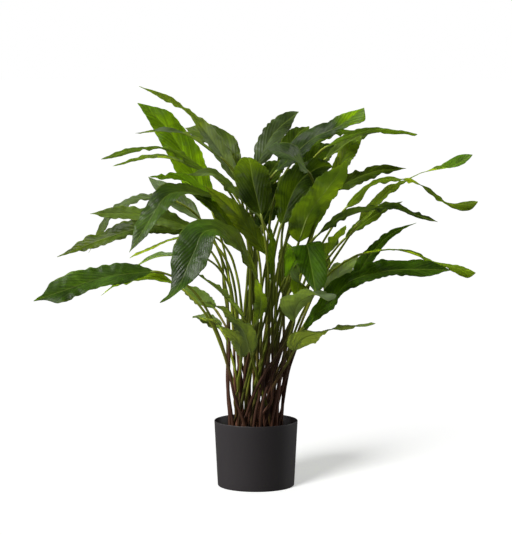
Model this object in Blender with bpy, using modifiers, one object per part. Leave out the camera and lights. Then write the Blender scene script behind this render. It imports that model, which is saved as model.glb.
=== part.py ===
"""Potted calathea: a tapered plastic pot, its potting soil, and a clump of long leaves on thin stalks.

The origin is the middle of the pot's underside. +Z is up and -Y is the plant's front.
Every leaf is one solid, from the foot of its stalk in the soil to the tip of its blade.
"""

import math

import bmesh
import bpy
import numpy as np
from mathutils import Matrix, Vector

# Pot
POT_HEIGHT = 0.134
POT_TOP_RADIUS = 0.085
POT_BASE_RADIUS = 0.078
POT_WALL = 0.0025
POT_FLOOR = 0.004
POT_CHAMFER = 0.0015
TURN_STEPS = 40

# Soil
SOIL_TOP = 0.112
SOIL_EDGE_DROP = 0.003
SOIL_EDGE_WIDTH = 0.008
CLEARANCE = 0.0003

# Stalks
CLUMP_RADIUS = 0.058
CLUMP_TWIST = math.radians(50)
FOOT_PULL = 0.28
FOOT_SPACING = 0.0135
FOOT_ROUNDS = 300
SOCKET_DEPTH = 0.012
SOCKET_SIDES = 8
STALK_FOOT_RADIUS = 0.0034
STALK_NECK_RADIUS = 0.0022
STALK_STATIONS = 7
STALK_LEAN = 0.25
STALK_RISE = 0.28
STALK_ARRIVAL = 0.30
STALK_UPRIGHT = 0.20
STALK_SPACING = 0.0080
STALK_ROUNDS = 120
NEARLY_PARALLEL = 1e-12

# Blades
BLADE_STATIONS = 11
BLADE_HALF_THICKNESS = 0.0007
BLADE_FOLD = 0.16
BLADE_TIP_HALF_WIDTH = 0.001
BLADE_WIDEST_AT = 0.42
BLADE_FULLNESS = 0.8
CURVE_STEPS = 24
RING_SIDES = 6

UP = Vector((0, 0, 1))

# Each leaf: the blade's width, where its upper face looks (more than once along a blade that twists),
# and the places that its midrib passes through, from collar to tip.
LEAVES = (
    # Low left
    (0.054, ((0, -1, 0.8),),
     ((-0.205, -0.07, 0.445), (-0.3, -0.085, 0.435), (-0.38, -0.1, 0.41), (-0.44, -0.11, 0.39))),
    (0.046, ((0, -0.4, 1),),
     ((-0.17, 0, 0.415), (-0.215, 0.02, 0.425), (-0.27, 0.05, 0.415), (-0.32, 0.08, 0.38))),
    (0.042, ((0, -1, 1),),
     ((-0.135, 0.03, 0.51), (-0.215, 0.045, 0.525), (-0.31, 0.06, 0.5), (-0.41, 0.08, 0.46))),
    (0.040, ((0, -0.1, 1),),
     ((-0.12, 0.07, 0.51), (-0.2, 0.11, 0.485), (-0.265, 0.16, 0.45))),
    (0.038, ((0, -0.1, 1),),
     ((-0.12, -0.05, 0.475), (-0.195, -0.02, 0.47), (-0.25, 0, 0.445))),
    # Left, arching over
    (0.036, ((0, -0.5, 1),),
     ((-0.19, 0.11, 0.58), (-0.24, 0.12, 0.578), (-0.295, 0.13, 0.552), (-0.35, 0.15, 0.462))),
    (0.054, ((-0.2, -0.5, 0.8), (0, -0.5, 1), (-0.7, -1, 0.3)),
     ((-0.075, -0.08, 0.595), (-0.135, -0.11, 0.605), (-0.175, -0.14, 0.6), (-0.21, -0.17, 0.55),
      (-0.245, -0.2, 0.495))),
    (0.048, ((0, -0.7, 1),),
     ((-0.115, -0.01, 0.52), (-0.185, -0.005, 0.545), (-0.255, 0, 0.555), (-0.335, 0, 0.555))),
    (0.042, ((0, -1, 1),),
     ((-0.115, 0.15, 0.53), (-0.175, 0.2, 0.575), (-0.23, 0.26, 0.615))),
    (0.076, ((1, -1, 1), (0, -0.5, 1), (-0.5, -1, 0.4)),
     ((0, -0.12, 0.44), (-0.03, -0.145, 0.495), (-0.09, -0.18, 0.54), (-0.12, -0.21, 0.495),
      (-0.15, -0.24, 0.43), (-0.183, -0.27, 0.405))),
    # Top left
    (0.066, ((0.3, -1, 0.3),),
     ((-0.09, 0.07, 0.555), (-0.135, 0.09, 0.645), (-0.185, 0.11, 0.725), (-0.245, 0.13, 0.775))),
    (0.046, ((0, -0.9, 1), (0, -0.5, 1), (0, -0.5, 1)),
     ((-0.04, 0.07, 0.615), (-0.08, 0.08, 0.685), (-0.145, 0.09, 0.76), (-0.24, 0.1, 0.81))),
    (0.052, ((0, -1, 0.6),),
     ((-0.035, 0.1, 0.63), (-0.075, 0.16, 0.695), (-0.15, 0.24, 0.72))),
    (0.046, ((0, -0.05, 1),),
     ((-0.07, -0.03, 0.67), (-0.15, -0.045, 0.72), (-0.24, -0.06, 0.72))),
    (0.046, ((0, -0.2, 1),),
     ((-0.09, -0.05, 0.64), (-0.17, -0.06, 0.685), (-0.23, -0.08, 0.69), (-0.305, -0.1, 0.67))),
    (0.044, ((0, -0.15, 1),),
     ((-0.09, 0.01, 0.635), (-0.17, 0.015, 0.665), (-0.235, 0.02, 0.665), (-0.29, 0.02, 0.65))),
    (0.046, ((0, -0.4, 1),),
     ((-0.065, -0.03, 0.575), (-0.145, -0.06, 0.625), (-0.21, -0.09, 0.635))),
    (0.046, ((0, -0.5, 1),),
     ((0.005, -0.04, 0.555), (-0.04, -0.06, 0.605), (-0.085, -0.08, 0.64), (-0.135, -0.1, 0.64))),
    (0.050, ((0, -0.7, 1),),
     ((-0.035, 0.02, 0.5), (-0.085, 0.01, 0.57), (-0.13, 0, 0.595))),
    (0.046, ((0, -1, 0.3),),
     ((0.02, -0.08, 0.48), (-0.02, -0.1, 0.54), (-0.06, -0.12, 0.585), (-0.1, -0.14, 0.62))),
    # Top middle
    (0.070, ((0, -1, 0.4), (0, -0.6, 1), (0, 0, 1)),
     ((0.01, -0.11, 0.56), (-0.005, -0.08, 0.62), (-0.015, -0.03, 0.668), (-0.03, 0.03, 0.657))),
    (0.048, ((0, -0.9, 0.6),),
     ((0, 0.08, 0.645), (0.035, 0.13, 0.71), (0.09, 0.2, 0.755))),
    (0.044, ((0, -1, 0.6),),
     ((0.05, 0.19, 0.635), (0.085, 0.27, 0.7), (0.115, 0.34, 0.72))),
    (0.050, ((0, -0.9, 1), (0, -0.9, 1), (0, -1, 0.3)),
     ((0.04, 0, 0.64), (0.11, -0.02, 0.705), (0.16, -0.03, 0.73), (0.215, -0.05, 0.77))),
    (0.040, ((0, -0.3, 1),),
     ((0.1, 0.03, 0.685), (0.15, 0.07, 0.71), (0.205, 0.11, 0.72))),
    (0.040, ((0, -0.25, 1),),
     ((0.145, 0.12, 0.685), (0.185, 0.125, 0.705), (0.255, 0.13, 0.72), (0.335, 0.14, 0.71))),
    (0.040, ((0, -0.2, 1),),
     ((0.145, 0.14, 0.66), (0.21, 0.21, 0.7), (0.265, 0.28, 0.71))),
    (0.042, ((0, -1, 0.5),),
     ((0.15, 0.04, 0.61), (0.185, 0.1, 0.675), (0.22, 0.16, 0.705))),
    (0.056, ((0, -1, 0.6),),
     ((0.08, 0.15, 0.605), (0.13, 0.23, 0.665), (0.17, 0.3, 0.685))),
    (0.056, ((0.2, -1, 0.9),),
     ((0.1, -0.15, 0.65), (0.065, -0.2, 0.682), (0.02, -0.25, 0.695))),
    (0.042, ((0, -1, 0.5),),
     ((0.01, 0.04, 0.6), (0.035, 0.1, 0.64), (0.05, 0.17, 0.655))),
    (0.042, ((0, -1, 0.5),),
     ((0.01, 0, 0.53), (0.035, 0.05, 0.58), (0.05, 0.1, 0.62))),
    (0.066, ((0, -1, 0.3),),
     ((0.05, -0.09, 0.54), (0.08, -0.06, 0.615), (0.125, -0.03, 0.65), (0.155, -0.01, 0.65))),
    (0.062, ((-0.3, 1, 0.3),),
     ((0.085, -0.08, 0.505), (0.105, -0.12, 0.565), (0.145, -0.17, 0.625), (0.175, -0.22, 0.675))),
    # Right
    (0.042, ((0, -0.6, 1),),
     ((0.125, 0, 0.585), (0.19, 0.01, 0.62), (0.245, 0.02, 0.64), (0.305, 0.03, 0.645))),
    (0.054, ((0, -0.5, 1), (0, -0.25, 1), (0, 0, 1), (0, -0.1, 1), (0, -1, 0.4)),
     ((0.18, -0.04, 0.57), (0.235, -0.05, 0.62), (0.31, -0.06, 0.625), (0.385, -0.07, 0.58),
      (0.44, -0.08, 0.585))),
    (0.052, ((0, -0.3, 1), (0, 0, 1), (0, -0.8, 1)),
     ((0.21, 0.03, 0.535), (0.275, 0.05, 0.6), (0.335, 0.065, 0.633), (0.4, 0.08, 0.646),
      (0.445, 0.09, 0.67))),
    (0.048, ((0, -0.6, 1), (0, -0.2, 1), (0, -0.2, 1)),
     ((0.12, -0.06, 0.515), (0.165, -0.08, 0.55), (0.255, -0.11, 0.575), (0.355, -0.15, 0.55))),
    (0.036, ((0, -0.2, 1),),
     ((0.185, 0.12, 0.495), (0.25, 0.17, 0.54), (0.31, 0.22, 0.565))),
    (0.042, ((0, -0.3, 1),),
     ((0.125, -0.08, 0.455), (0.155, -0.12, 0.505), (0.175, -0.17, 0.545))),
    (0.040, ((0, -1, 1),),
     ((0.11, 0.1, 0.4), (0.135, 0.17, 0.43), (0.155, 0.23, 0.45))),
    (0.034, ((0, -0.5, 1),),
     ((0.13, 0.04, 0.35), (0.195, 0.06, 0.405), (0.23, 0.09, 0.455), (0.275, 0.12, 0.5),
      (0.335, 0.15, 0.525))),
    (0.044, ((0, 0, 1), (0, 0, 1), (0, -0.1, 1), (0, -1, 0.6)),
     ((0.215, 0.04, 0.47), (0.285, 0.03, 0.48), (0.365, 0.02, 0.455), (0.445, 0, 0.435))),
    (0.066, ((0, -0.8, 1), (0, -0.6, 1), (0, -0.8, 1)),
     ((0.095, -0.05, 0.325), (0.14, -0.07, 0.38), (0.195, -0.08, 0.43), (0.285, -0.09, 0.45),
      (0.385, -0.1, 0.45))),
    (0.042, ((0, -1, 1),),
     ((0.14, 0.05, 0.39), (0.175, 0.12, 0.425), (0.215, 0.19, 0.45))),
    # Low middle
    (0.068, ((-0.4, 0.6, 0.6), (-0.3, 0.6, 0.8), (0.2, 0.2, 1)),
     ((0.075, -0.15, 0.355), (0.08, -0.21, 0.396), (0.11, -0.28, 0.421), (0.135, -0.34, 0.416))),
    (0.062, ((0, -0.3, 1), (0, -0.5, 1), (0, -1, 0.3)),
     ((0.06, -0.08, 0.435), (0.095, -0.15, 0.505), (0.105, -0.19, 0.475), (0.115, -0.24, 0.42))),
    (0.050, ((0, -1, 0.6),),
     ((0.06, 0.06, 0.375), (0.07, 0.13, 0.445), (0.065, 0.21, 0.48))),
    (0.046, ((0, -0.5, 1),),
     ((0.08, -0.1, 0.39), (0.085, -0.12, 0.44), (0.085, -0.14, 0.47))),
    (0.058, ((-0.3, 0.9, 0.3), (0, 0.3, 1), (0, -0.2, 1)),
     ((0.075, -0.1, 0.29), (0.095, -0.13, 0.32), (0.16, -0.18, 0.345), (0.23, -0.23, 0.36))),
    (0.052, ((0.3, 0.9, 0.3), (0.2, 0.5, 1), (0, -0.2, 1)),
     ((-0.01, -0.1, 0.285), (-0.025, -0.15, 0.34), (-0.065, -0.22, 0.385), (-0.105, -0.28, 0.41))),
    (0.048, ((0.3, 0.9, 0.3), (0.2, 0.4, 1), (0, -0.2, 1)),
     ((-0.03, -0.13, 0.28), (-0.035, -0.18, 0.32), (-0.07, -0.25, 0.36), (-0.11, -0.32, 0.385))),
    (0.042, ((0, -0.5, 1),),
     ((-0.025, -0.08, 0.355), (-0.07, -0.13, 0.41), (-0.12, -0.18, 0.455))),
    (0.040, ((0, -0.5, 1),),
     ((-0.085, 0.06, 0.355), (-0.12, 0.13, 0.375), (-0.155, 0.2, 0.39))),
    (0.040, ((0, -0.5, 1),),
     ((-0.073, 0.05, 0.315), (-0.103, 0.12, 0.325), (-0.133, 0.2, 0.323))),
    (0.040, ((0, -0.5, 1),),
     ((0, -0.12, 0.345), (0.01, -0.19, 0.395), (0, -0.27, 0.45))),
    (0.050, ((0, -0.5, 1),),
     ((0.005, 0.16, 0.49), (0.015, 0.26, 0.535), (0.025, 0.35, 0.52))),
    (0.046, ((0.5, -1, 1),),
     ((0.03, -0.15, 0.435), (0.03, -0.2, 0.51), (0.025, -0.25, 0.56))),
)


def clear_scene():
    for obj in list(bpy.data.objects):
        bpy.data.objects.remove(obj, do_unlink=True)


def new_collection(name):
    collection = bpy.data.collections.new(name)
    bpy.context.scene.collection.children.link(collection)
    return collection


def new_material(name, colour, roughness, metallic=0.0):
    material = bpy.data.materials.new(name)
    material.use_nodes = True
    shader = material.node_tree.nodes["Principled BSDF"]
    shader.inputs["Base Color"].default_value = (*colour, 1.0)
    shader.inputs["Roughness"].default_value = roughness
    shader.inputs["Metallic"].default_value = metallic
    return material


def new_object(name, mesh, collection, material=None):
    obj = bpy.data.objects.new(name, mesh)
    if material:
        mesh.materials.append(material)
    collection.objects.link(obj)
    return obj


def turned(name, profile, collection, material):
    """A solid of revolution: the profile runs round the outside from the axis on top to the axis below."""
    mesh = bpy.data.meshes.new(name)
    edges = [(i, i + 1) for i in range(len(profile) - 1)]
    mesh.from_pydata([(radius, 0, height) for radius, height in profile], edges, [])
    obj = new_object(name, mesh, collection, material)
    screw = obj.modifiers.new("Turn", "SCREW")
    screw.steps = TURN_STEPS
    screw.render_steps = TURN_STEPS
    screw.use_merge_vertices = True
    screw.merge_threshold = 0.0001
    return obj


def wall_radius(height):
    """The pot's outer radius at a height."""
    return POT_BASE_RADIUS + (POT_TOP_RADIUS - POT_BASE_RADIUS) * height / POT_HEIGHT


def make_pot(collection):
    inner_foot = wall_radius(POT_FLOOR) - POT_WALL
    edge = POT_WALL / 4
    profile = [
        (0, POT_FLOOR),
        (inner_foot, POT_FLOOR),
        (POT_TOP_RADIUS - POT_WALL, POT_HEIGHT - edge),
        (POT_TOP_RADIUS - POT_WALL + edge, POT_HEIGHT),
        (POT_TOP_RADIUS - edge, POT_HEIGHT),
        (POT_TOP_RADIUS, POT_HEIGHT - edge),
        (wall_radius(POT_CHAMFER), POT_CHAMFER),
        (POT_BASE_RADIUS - POT_CHAMFER, 0),
        (0, 0),
    ]
    charcoal = new_material("charcoal_plastic", (0.045, 0.042, 0.043), 0.55)
    return turned("pot", profile, collection, charcoal)


def make_soil(collection, sockets):
    low = POT_FLOOR + CLEARANCE
    edge_height = SOIL_TOP - SOIL_EDGE_DROP
    gap = POT_WALL + 2 * CLEARANCE
    profile = [
        (0, SOIL_TOP),
        (wall_radius(SOIL_TOP) - gap - SOIL_EDGE_WIDTH, SOIL_TOP),
        (wall_radius(edge_height) - gap, edge_height),
        (wall_radius(low) - gap, low),
        (0, low),
    ]
    dark_earth = new_material("potting_soil", (0.035, 0.022, 0.014), 0.95)
    soil = turned("potting_soil", profile, collection, dark_earth)
    cut = soil.modifiers.new("Stalk sockets", "BOOLEAN")
    cut.operation = "DIFFERENCE"
    cut.solver = "EXACT"
    cut.object = sockets
    return soil


def spread_feet(leans):
    """Places for the stalks' feet, each near the side its leaf leans to, pushed apart evenly.

    The stalks are twisted both ways in turn, so that they cross as they rise.
    """
    feet = []
    for i, lean in enumerate(leans):
        twist = Matrix.Rotation(CLUMP_TWIST * (-1) ** i, 2)
        feet.append(twist @ Vector(lean) * FOOT_PULL)
    for _ in range(FOOT_ROUNDS):
        for i, foot in enumerate(feet):
            for other in feet[i + 1:]:
                between = foot - other
                lack = FOOT_SPACING - between.length
                if lack > 0:
                    push = between.normalized() * lack / 2
                    foot += push
                    other -= push
        for foot in feet:
            if foot.length > CLUMP_RADIUS:
                foot *= CLUMP_RADIUS / foot.length
    return [Vector((foot.x, foot.y, SOIL_TOP - SOCKET_DEPTH + CLEARANCE)) for foot in feet]


def make_sockets(feet, cutters):
    """One cutter holding a round hole for every stalk's foot."""
    radius = (STALK_FOOT_RADIUS + CLEARANCE) / math.cos(math.pi / SOCKET_SIDES)
    shape = bmesh.new()
    for foot in feet:
        made = bmesh.ops.create_cone(
            shape, cap_ends=True, segments=SOCKET_SIDES, radius1=radius, radius2=radius,
            depth=2 * SOCKET_DEPTH,
        )
        bmesh.ops.translate(shape, vec=(foot.x, foot.y, SOIL_TOP), verts=made["verts"])
    mesh = bpy.data.meshes.new("sockets")
    shape.to_mesh(mesh)
    shape.free()
    sockets = new_object("sockets", mesh, cutters)
    sockets.hide_render = True
    sockets.display_type = "WIRE"
    return sockets


def curve_through(points, count):
    """Evenly spaced places on a smooth curve through the points, from first to last."""
    ends = [2 * points[0] - points[1], *points, 2 * points[-1] - points[-2]]
    fine = []
    for a, b, c, d in zip(ends, ends[1:], ends[2:], ends[3:]):
        for k in range(CURVE_STEPS):
            t = k / CURVE_STEPS
            fine.append(
                0.5 * (2 * b + (c - a) * t + (2 * a - 5 * b + 4 * c - d) * t ** 2
                       + (3 * b - a - 3 * c + d) * t ** 3)
            )
    fine.append(points[-1])
    run = [0.0]
    for a, b in zip(fine, fine[1:]):
        run.append(run[-1] + (b - a).length)
    placed = []
    k = 0
    for i in range(count):
        wanted = run[-1] * i / (count - 1)
        while k < len(fine) - 2 and run[k + 1] < wanted:
            k += 1
        share = (wanted - run[k]) / (run[k + 1] - run[k])
        placed.append(fine[k].lerp(fine[k + 1], min(share, 1.0)))
    return placed


def stalk_curve(foot, blade):
    """Places along a stalk: it leans a little out of its socket, rises, and then bends towards the blade."""
    collar = blade[0]
    heading = (blade[1] - blade[0]).normalized()
    base = foot + UP * SOCKET_DEPTH
    reach = (collar - base).length
    rising = base.lerp(collar, STALK_LEAN) + UP * reach * STALK_RISE
    arriving = collar - (heading + UP * STALK_UPRIGHT).normalized() * reach * STALK_ARRIVAL
    places = [foot]
    for i in range(STALK_STATIONS + 1):
        t = i / STALK_STATIONS
        s = 1 - t
        places.append(base * s ** 3 + rising * 3 * s * s * t + arriving * 3 * s * t * t + collar * t ** 3)
    return places


def nearest_between(starts, runs):
    """For every pair of straight stretches: how far along the first it comes nearest the second, and the way
    from the second's nearest place to the first's.
    """
    first, second = runs[:, None], runs[None]
    apart = starts[:, None] - starts[None]
    aa = (first * first).sum(-1)
    bb = (second * second).sum(-1)
    ab = (first * second).sum(-1)
    a_apart = (first * apart).sum(-1)
    b_apart = (second * apart).sum(-1)
    spread = np.maximum(aa * bb - ab * ab, NEARLY_PARALLEL)
    along_first = np.clip((ab * b_apart - bb * a_apart) / spread, 0, 1)
    along_second = np.clip((ab * along_first + b_apart) / bb, 0, 1)
    along_first = np.clip((ab * along_second - a_apart) / aa, 0, 1)
    way = apart + along_first[..., None] * first - along_second[..., None] * second
    return along_first, way


def part_stalks(curves):
    """Bends the stalks aside, between their feet and their collars, where they would touch."""
    places = np.array([[tuple(place) for place in curve] for curve in curves])
    count, stations, _ = places.shape
    owner = np.repeat(np.arange(count), stations - 1)
    others = owner[:, None] != owner[None]
    for _ in range(STALK_ROUNDS):
        starts = places[:, :-1].reshape(-1, 3)
        runs = places[:, 1:].reshape(-1, 3) - starts
        along, way = nearest_between(starts, runs)
        gap = np.linalg.norm(way, axis=-1)
        lack = np.where(others, np.maximum(STALK_SPACING - gap, 0), 0)
        if not lack.any():
            break
        push = way * (lack / np.maximum(gap, CLEARANCE))[..., None] * 0.5
        at_start = (push * (1 - along)[..., None]).sum(1).reshape(count, stations - 1, 3)
        at_end = (push * along[..., None]).sum(1).reshape(count, stations - 1, 3)
        places[:, 2:-1] += at_start[:, 2:] + at_end[:, 1:-1]
    return [[Vector(place) for place in curve] for curve in places]


def blade_half_width(share, width):
    """A long oval with its widest place before the middle and a drawn-out tip."""
    bent = share ** (math.log(0.5) / math.log(BLADE_WIDEST_AT))
    return width / 2 * math.sin(math.pi * bent) ** BLADE_FULLNESS


def headings(places):
    """The unit direction of the curve at each of its places."""
    found = []
    for i in range(len(places)):
        before = places[max(i - 1, 0)]
        after = places[min(i + 1, len(places) - 1)]
        found.append((after - before).normalized())
    return found


def look_along(faces, share):
    """Where the upper face looks at a share of the blade's length."""
    step = share * (len(faces) - 1)
    before = min(int(step), max(len(faces) - 2, 0))
    after = min(before + 1, len(faces) - 1)
    return Vector(faces[before]).normalized().lerp(Vector(faces[after]).normalized(), step - before)


def leaf_rings(stalk, blade, width, faces):
    """The leaf's cross-sections: round along the stalk, flat and slightly folded along the blade."""
    places = stalk + blade[1:]
    ways = headings(places)
    ways[0] = ways[1] = UP
    neck = len(stalk) - 1
    normals = [None] * len(places)
    for i in reversed(range(len(places))):
        looks = look_along(faces, (i - neck) / (len(blade) - 1)) if i >= neck else normals[i + 1]
        normals[i] = (looks - ways[i] * looks.dot(ways[i])).normalized()
    rings = []
    for i, (place, way, normal) in enumerate(zip(places, ways, normals)):
        side = way.cross(normal)
        if i <= neck:
            half_width = STALK_FOOT_RADIUS + (STALK_NECK_RADIUS - STALK_FOOT_RADIUS) * i / neck
            half_thickness = half_width
            fold = 0
        else:
            share = (i - neck) / (len(blade) - 1)
            half_width = max(blade_half_width(share, width), BLADE_TIP_HALF_WIDTH)
            half_thickness = BLADE_HALF_THICKNESS
            fold = BLADE_FOLD * half_width
        ring = []
        for k in range(RING_SIDES):
            angle = 2 * math.pi * k / RING_SIDES
            across = math.cos(angle)
            ring.append(
                place + side * half_width * across
                + normal * (half_thickness * math.sin(angle) + fold * abs(across))
            )
        rings.append(ring)
    return rings


def make_leaf(name, rings, collection, material):
    """A loft through the rings, closed at both ends.

    Both skins of the blade are cut along the same diagonals, so that they stay apart where it twists.
    """
    shape = bmesh.new()
    loops = [[shape.verts.new(point) for point in ring] for ring in rings]
    for low, high in zip(loops, loops[1:]):
        for k in range(RING_SIDES):
            j = (k + 1) % RING_SIDES
            if k < RING_SIDES // 2:
                shape.faces.new((low[k], low[j], high[j]))
                shape.faces.new((low[k], high[j], high[k]))
            else:
                shape.faces.new((low[k], low[j], high[k]))
                shape.faces.new((low[j], high[j], high[k]))
    shape.faces.new(loops[0])
    shape.faces.new(loops[-1])
    bmesh.ops.recalc_face_normals(shape, faces=shape.faces)
    mesh = bpy.data.meshes.new(name)
    shape.to_mesh(mesh)
    shape.free()
    mesh.shade_smooth()
    return new_object(name, mesh, collection, material)


def main():
    clear_scene()
    parts = new_collection("potted_calathea")
    cutters = new_collection("cutters")
    feet = spread_feet([path[0][:2] for _, _, path in LEAVES])
    sockets = make_sockets(feet, cutters)
    make_pot(parts)
    make_soil(parts, sockets)
    leaf_green = new_material("leaf_green", (0.045, 0.105, 0.015), 0.4)
    blades = [curve_through([Vector(place) for place in path], BLADE_STATIONS) for _, _, path in LEAVES]
    stalks = part_stalks([stalk_curve(foot, blade) for foot, blade in zip(feet, blades)])
    for number, (width, faces, _) in enumerate(LEAVES):
        rings = leaf_rings(stalks[number], blades[number], width, faces)
        make_leaf(f"leaf_{number + 1:02d}", rings, parts, leaf_green)


main()
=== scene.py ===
"""Looks of the potted calathea: ruffled leaves on thin stalks, crumbly soil and a matte charcoal pot.

Every leaf is read back from its CAD solid: the line of its stalk and midrib, where its upper face looks,
and its width. A fine leaf is then grown along that line.
"""

import math

import bmesh
import bpy
import numpy as np
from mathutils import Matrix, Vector, noise


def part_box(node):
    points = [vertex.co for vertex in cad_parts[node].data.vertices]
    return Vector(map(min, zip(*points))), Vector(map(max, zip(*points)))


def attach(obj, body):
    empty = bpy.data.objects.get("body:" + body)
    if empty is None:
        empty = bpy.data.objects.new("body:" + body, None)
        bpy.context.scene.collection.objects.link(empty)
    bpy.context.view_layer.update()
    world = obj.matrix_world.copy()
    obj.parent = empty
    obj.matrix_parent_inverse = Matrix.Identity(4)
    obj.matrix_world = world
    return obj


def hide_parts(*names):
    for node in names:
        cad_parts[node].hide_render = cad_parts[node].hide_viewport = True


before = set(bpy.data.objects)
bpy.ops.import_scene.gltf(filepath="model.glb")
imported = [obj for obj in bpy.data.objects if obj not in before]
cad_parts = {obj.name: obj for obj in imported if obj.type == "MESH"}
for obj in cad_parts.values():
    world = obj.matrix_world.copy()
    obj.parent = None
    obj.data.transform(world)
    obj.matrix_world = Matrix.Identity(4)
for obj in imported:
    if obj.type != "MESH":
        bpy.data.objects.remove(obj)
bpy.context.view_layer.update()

MM = 0.001

# How a CAD leaf is built: rings of six points, the first ones along the stalk.
# A blade's rib lies under the line between its two edges, by CAD_FOLD of the blade's half width there.
RING_SIDES = 6
STALK_RINGS = 9
CAD_FOLD = 0.16
# Points within SAME_POINT are one, and a vector shorter than NO_LENGTH has no direction.
SAME_POINT = 0.01 * MM
NO_LENGTH = 1e-12

# Blade mesh. Columns lie a little closer together near the midrib, and the skins close in at the edge.
ROW_LENGTH = 2.6 * MM
ROW_COUNTS = (40, 130)
COLUMN_WIDTH = 1.9 * MM
COLUMN_COUNTS = (7, 18)
COLUMN_CROWDING = 1.15
BLADE_THICKNESS = 0.5 * MM
RIM_THICKNESS_SHARE = 0.5

# The two halves rise from the midrib and level out towards the edge.
CHANNEL_RISE = (0.30, 0.62)
CHANNEL_DROP = (0.22, 0.42)
# Leaves that bend back across their width: how far, from where along the blade, and within how much of it
ROUNDED_OVER = {21: 0.75}
ROUNDED_FROM = 0.42
ROUNDED_WITHIN = 0.28

# Every wave's beats drift, so that none repeats.
WAVE_DRIFT = 0.9
WAVE_DRIFT_BEATS = 3.1
WAVE_STRETCH = (0.85, 1.2)

# Ruffles bend the edge up and down, swell and fade, and are low near the collar and the tip. Scallops cut
# into the edge, and a slow sway tilts each half.
RUFFLED_ALONG = 0.8
RUFFLED_POWER = 0.6
RUFFLE_LENGTH = 30 * MM
RUFFLE_HEIGHT = (1.4 * MM, 4.2 * MM)
RUFFLE_POWER = 2.2
RUFFLE_OVERTONE = 0.3
SCALLOP_LENGTH = 19 * MM
SCALLOP_DEPTH = (0.9 * MM, 2.4 * MM)
SCALLOP_LEVEL = 0.6
SCALLOP_DRIFT = 0.5
SCALLOP_POWER = 3
SWAY_LENGTH = 110 * MM
SWAY_SHARE = 0.16
SWAY_POWER = 0.5
# Leaves with the waviest edges, and how much wavier they are
WAVY = (3, 8, 22, 33, 35, 38, 44)
WAVY_SHARE = 1.7

# Pleats follow the side veins, which leave the midrib forwards and bend to the edge. Puckers are broader.
VEIN_ANGLE = math.radians(21)
VEIN_BEND = 4.0
PLEAT_WIDTH = 6.2 * MM
PLEAT_DEPTH = (0.12 * MM, 0.26 * MM)
PLEAT_DEPTHS = {7: 0.34 * MM, 10: 0.38 * MM, 20: 0.10 * MM, 21: 0.10 * MM, 22: 0.28 * MM, 30: 0.24 * MM}
PLEAT_FADE = 4 * MM
PLEAT_AT_EDGE = 0.4
PUCKER_LENGTH = 34 * MM
PUCKER_WIDTH = 17 * MM
PUCKER_DEPTH = (0.5 * MM, 1.1 * MM)
PUCKER_DRIFT = 2
PUCKER_FADE = 8 * MM

# How wide each half of a blade is, from collar to tip, as shares of the blade's half width
OUTLINE_AT = (0, 0.03, 0.1, 0.22, 0.38, 0.55, 0.7, 0.82, 0.91, 0.965, 1)
POINTED = (0.05, 0.20, 0.52, 0.84, 1.00, 0.98, 0.83, 0.58, 0.30, 0.11, 0.02)
DRAWN_OUT = (0.05, 0.20, 0.55, 0.88, 1.00, 0.92, 0.68, 0.38, 0.14, 0.06, 0.02)
FULL = (0.05, 0.20, 0.52, 0.84, 1.00, 1.00, 0.92, 0.72, 0.44, 0.19, 0.02)
LATE_FULL = (0.05, 0.20, 0.50, 0.70, 0.70, 0.78, 0.86, 0.72, 0.46, 0.20, 0.02)
BLUNT = (0.05, 0.18, 0.46, 0.78, 0.97, 1.00, 0.98, 0.90, 0.72, 0.44, 0.02)
NARROW = (0.05, 0.18, 0.44, 0.68, 0.80, 0.78, 0.64, 0.44, 0.24, 0.10, 0.02)
SLIM = (0.05, 0.16, 0.36, 0.52, 0.60, 0.56, 0.46, 0.34, 0.22, 0.12, 0.02)
OBLIQUE = (0.05, 0.18, 0.40, 0.60, 0.75, 0.85, 0.95, 1.00, 0.95, 0.70, 0.02)
WAISTED = (0.05, 0.20, 0.52, 0.84, 0.90, 0.70, 0.52, 0.62, 0.92, 0.80, 0.02)
HOURGLASS = (0.05, 0.35, 0.80, 0.85, 0.50, 0.22, 0.35, 0.62, 0.70, 0.42, 0.02)
HOURGLASS_SLIM = (0.05, 0.35, 0.60, 0.60, 0.40, 0.20, 0.25, 0.35, 0.30, 0.16, 0.02)
PADDLE = (0.05, 0.20, 0.52, 0.82, 0.97, 1.00, 1.04, 0.96, 0.26, 0.10, 0.02)
SHOULDERED = (0.05, 0.20, 0.56, 0.90, 1.00, 0.94, 0.78, 0.50, 0.24, 0.10, 0.02)
NARROWING = (0.05, 0.25, 0.64, 0.84, 0.76, 0.50, 0.40, 0.35, 0.28, 0.16, 0.02)
LATE = (0.05, 0.07, 0.10, 0.34, 0.86, 1.00, 0.80, 0.50, 0.22, 0.08, 0.02)
TAILED = (0.05, 0.15, 0.40, 0.68, 0.92, 1.02, 0.92, 0.52, 0.20, 0.09, 0.02)
BROAD_BASE = (0.10, 0.42, 0.86, 1.00, 0.80, 0.46, 0.34, 0.32, 0.26, 0.15, 0.02)
WIDE_BASE = (0.10, 0.44, 0.86, 1.02, 1.02, 0.96, 0.84, 0.62, 0.34, 0.14, 0.02)
SHORT_BASE = (0.10, 0.42, 0.84, 0.94, 0.62, 0.46, 0.40, 0.34, 0.26, 0.14, 0.02)
NARROW_BASE = (0.08, 0.32, 0.62, 0.68, 0.54, 0.36, 0.28, 0.26, 0.22, 0.13, 0.02)
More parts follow.
